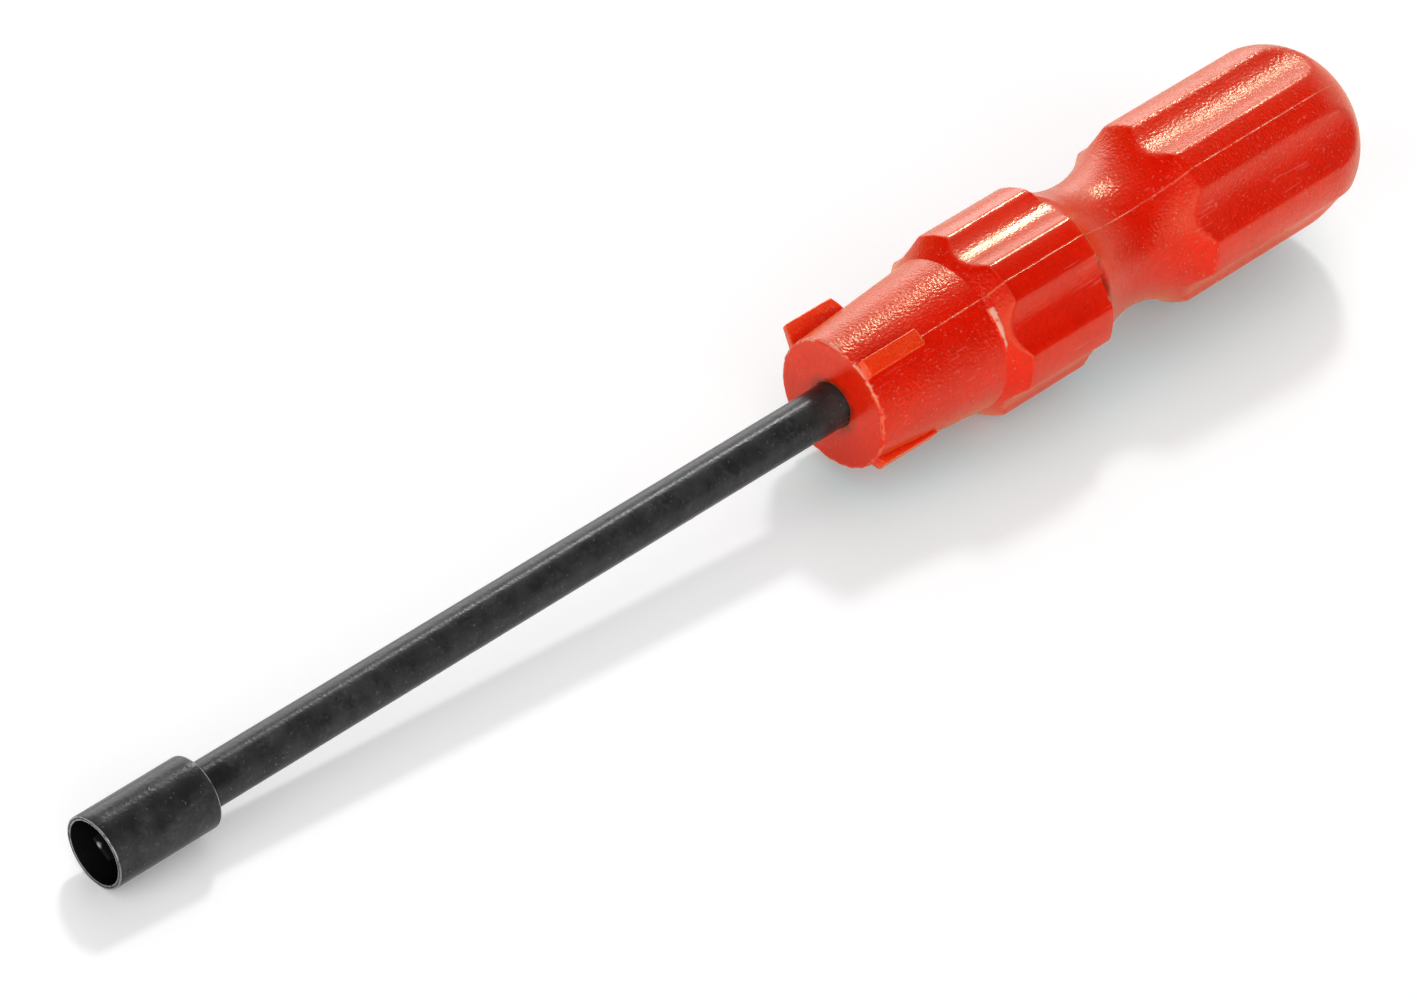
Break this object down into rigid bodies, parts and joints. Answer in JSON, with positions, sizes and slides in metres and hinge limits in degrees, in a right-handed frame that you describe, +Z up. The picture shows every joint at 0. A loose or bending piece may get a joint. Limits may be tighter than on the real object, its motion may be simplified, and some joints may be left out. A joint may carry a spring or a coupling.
{
  "type": "carburetor adjustment screwdriver",
  "caption": "Slotted screwdriver for carburetor adjusting screws: the blade is set back inside a steel guide sleeve, on a round shaft with a fluted and waisted plastic handle.",
  "frame": {"origin": "centre of the guide sleeve's mouth, on the tool's axis", "axes": "+X along the axis towards the butt of the handle, +Z up through the middle of one flute, +Y completes the right-handed set; the pointer lug stands 60 degrees from +Z towards +Y"},
  "size_m": [0.2082, 0.025, 0.0238],
  "materials": {
    "handle_plastic": "waxy semi-gloss moulding, red-orange",
    "shaft_steel": "satin black oxide",
    "sleeve_steel": "satin black oxide, worn bright at the rims"
  },
  "bodies": {
    "root": {"handle": "handle_plastic", "shaft": "shaft_steel", "guide_sleeve": "sleeve_steel"}
  },
  "joints": []
}
